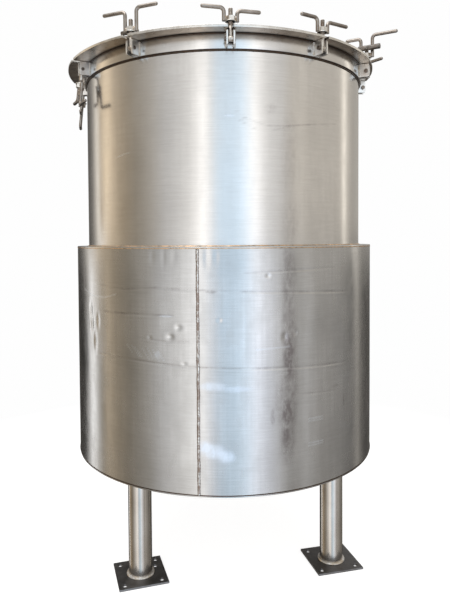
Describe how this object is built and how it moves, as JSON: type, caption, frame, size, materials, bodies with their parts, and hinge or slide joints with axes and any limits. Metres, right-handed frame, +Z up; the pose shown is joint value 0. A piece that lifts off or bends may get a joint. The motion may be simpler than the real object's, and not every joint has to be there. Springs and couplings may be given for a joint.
{
  "type": "jacketed vertical storage tank",
  "caption": "Upright stainless tank on tube legs, with a lower jacket and a domed lid held on its slotted rim by swing bolts with bent-rod handle nuts",
  "frame": {"origin": "on the floor, on the tank's vertical axis", "axes": "+Z up the tank's axis, -Y towards the side that the picture shows, +X to the right of that side"},
  "size_m": [1.1294, 1.0805, 1.7323],
  "materials": {
    "shell_steel": "rolled stainless sheet with a fine satin grain",
    "jacket_steel": "thin stainless cladding, scuffed, with soft dents",
    "clamp_steel": "bright machined and welded stainless, straw tints at the welds",
    "leg_steel": "satin stainless tube",
    "foot_plate": "dark hot-rolled plate with worn edges",
    "gasket_rubber": "dull black sheet rubber"
  },
  "bodies": {
    "tank": {"vessel_wall": "shell_steel", "vessel_bottom": "shell_steel", "jacket_wall": "jacket_steel", "jacket_top_ring": "jacket_steel", "jacket_bottom": "jacket_steel", "clamp_band": "clamp_steel", "rim_flange": "shell_steel", "gasket": "gasket_rubber", "lid_ring": "shell_steel", "lid_dome": "shell_steel", "leg_front_left": "leg_steel", "foot_front_left": "foot_plate", "leg_front_right": "leg_steel", "foot_front_right": "foot_plate", "leg_back_right": "leg_steel", "foot_back_right": "foot_plate", "leg_back_left": "leg_steel", "foot_back_left": "foot_plate"},
    "clamp_front": {"swing_bolt_front": "clamp_steel", "handle_nut_front": "clamp_steel"},
    "clamp_front_right": {"swing_bolt_front_right": "clamp_steel", "handle_nut_front_right": "clamp_steel"},
    "clamp_right_front": {"swing_bolt_right_front": "clamp_steel", "handle_nut_right_front": "clamp_steel"},
    "clamp_right": {"swing_bolt_right": "clamp_steel", "handle_nut_right": "clamp_steel"},
    "clamp_right_back": {"swing_bolt_right_back": "clamp_steel", "handle_nut_right_back": "clamp_steel"},
    "clamp_back_right": {"swing_bolt_back_right": "clamp_steel", "handle_nut_back_right": "clamp_steel"},
    "clamp_back": {"swing_bolt_back": "clamp_steel", "handle_nut_back": "clamp_steel"},
    "clamp_back_left": {"swing_bolt_back_left": "clamp_steel", "handle_nut_back_left": "clamp_steel"},
    "clamp_left_back": {"swing_bolt_left_back": "clamp_steel", "handle_nut_left_back": "clamp_steel"},
    "clamp_left": {"swing_bolt_left": "clamp_steel", "handle_nut_left": "clamp_steel"},
    "clamp_left_front": {"swing_bolt_left_front": "clamp_steel", "handle_nut_left_front": "clamp_steel"},
    "clamp_front_left": {"swing_bolt_front_left": "clamp_steel", "handle_nut_front_left": "clamp_steel"}
  },
  "joints": [
    {"name": "swing_front", "type": "hinge", "parent": "tank", "child": "clamp_front", "pos_m": [0.02341, -0.51547, 1.6088], "axis": [0.999, 0.0454, 0], "range_deg": [0, 178]},
    {"name": "swing_front_right", "type": "hinge", "parent": "tank", "child": "clamp_front_right", "pos_m": [0.29301, -0.42474, 1.6088], "axis": [0.8231, 0.5678, 0], "range_deg": [0, 178]},
    {"name": "swing_right_front", "type": "hinge", "parent": "tank", "child": "clamp_right_front", "pos_m": [0.48075, -0.18744, 1.6088], "axis": [0.3633, 0.9317, 0], "range_deg": [0, 148]},
    {"name": "swing_right", "type": "hinge", "parent": "tank", "child": "clamp_right", "pos_m": [0.51551, 0.02251, 1.6088], "axis": [-0.0436, 0.999, 0], "range_deg": [0, 162]},
    {"name": "swing_right_back", "type": "hinge", "parent": "tank", "child": "clamp_right_back", "pos_m": [0.43422, 0.27876, 1.6088], "axis": [-0.5402, 0.8415, 0], "range_deg": [0, 178]},
    {"name": "swing_back_right", "type": "hinge", "parent": "tank", "child": "clamp_back_right", "pos_m": [0.24779, 0.45261, 1.6088], "axis": [-0.8771, 0.4802, 0], "range_deg": [0, 178]},
    {"name": "swing_back", "type": "hinge", "parent": "tank", "child": "clamp_back", "pos_m": [0, 0.516, 1.6088], "axis": [-1, 0, 0], "range_deg": [0, 178]},
    {"name": "swing_back_left", "type": "hinge", "parent": "tank", "child": "clamp_back_left", "pos_m": [-0.24779, 0.45261, 1.6088], "axis": [-0.8771, -0.4802, 0], "range_deg": [0, 178]},
    {"name": "swing_left_back", "type": "hinge", "parent": "tank", "child": "clamp_left_back", "pos_m": [-0.43422, 0.27876, 1.6088], "axis": [-0.5402, -0.8415, 0], "range_deg": [0, 178]},
    {"name": "swing_left", "type": "hinge", "parent": "tank", "child": "clamp_left", "pos_m": [-0.51569, 0.01801, 1.6088], "axis": [-0.0349, -0.9994, 0], "range_deg": [-174, 4]},
    {"name": "swing_left_front", "type": "hinge", "parent": "tank", "child": "clamp_left_front", "pos_m": [-0.4577, -0.23826, 1.6088], "axis": [0.4617, -0.887, 0], "range_deg": [-174, 4]},
    {"name": "swing_front_left", "type": "hinge", "parent": "tank", "child": "clamp_front_left", "pos_m": [-0.26421, -0.44322, 1.6088], "axis": [0.859, -0.512, 0], "range_deg": [0, 178]}
  ]
}
